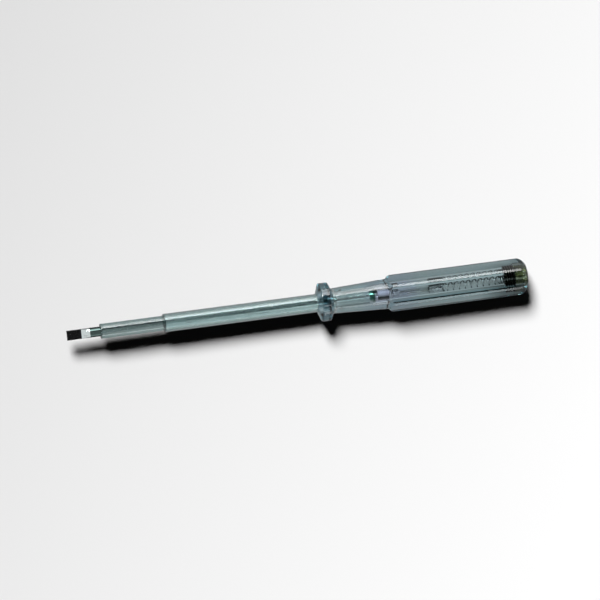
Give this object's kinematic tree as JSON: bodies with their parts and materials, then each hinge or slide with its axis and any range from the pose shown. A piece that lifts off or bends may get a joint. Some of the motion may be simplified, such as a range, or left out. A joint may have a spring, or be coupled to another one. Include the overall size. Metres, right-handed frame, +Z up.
{
  "type": "voltage tester screwdriver",
  "caption": "Slotted mains tester screwdriver: steel blade in two insulating sleeves, clear six-sided handle with collar, glow lamp, resistor, spring and screw-in contact cap.",
  "frame": {"origin": "centre of the blade tip's end face, on the tool's axis", "axes": "+X along the axis from the tip to the end cap, +Z up and square to the blade's flat and to two of the grip's flats"},
  "size_m": [0.19, 0.0156, 0.0156],
  "materials": {
    "blade_steel": "ground tip, bright drawn rod",
    "sleeve_plastic": "clear, faintly green tube",
    "handle_plastic": "clear polished moulding",
    "resistor_dark": "dark lacquer",
    "plated_metal": "nickel plated",
    "lamp_glass": "clear glass tube",
    "electrode_nickel": "dull nickel",
    "spring_steel": "drawn spring wire",
    "cap_brass": "turned brass, slightly dull"
  },
  "bodies": {
    "handle": {"handle": "handle_plastic", "blade": "blade_steel", "inner_sleeve": "sleeve_plastic", "outer_sleeve": "sleeve_plastic", "resistor_body": "resistor_dark", "resistor_front_cap": "plated_metal", "resistor_rear_cap": "plated_metal", "lamp_glass": "lamp_glass", "lamp_front_cap": "plated_metal", "lamp_rear_cap": "plated_metal", "lamp_front_electrode": "electrode_nickel", "lamp_rear_electrode": "electrode_nickel", "lamp_front_lead": "electrode_nickel", "lamp_rear_lead": "electrode_nickel"},
    "spring": {"spring": "spring_steel"},
    "end_cap": {"end_cap": "cap_brass"}
  },
  "joints": [
    {"name": "cap_travel", "type": "slide", "parent": "handle", "child": "spring", "axis": [1, 0, 0], "range_m": [0, 0.004], "deforming": ["spring"]},
    {"name": "cap_turn", "type": "hinge", "parent": "spring", "child": "end_cap", "pos_m": [0.1803, 0, 0], "axis": [1, 0, 0], "range_deg": [0, 1440]}
  ],
  "couplings": [
    {"joint": "cap_turn", "follows": "cap_travel", "rad_per_m": 6283.1}
  ]
}
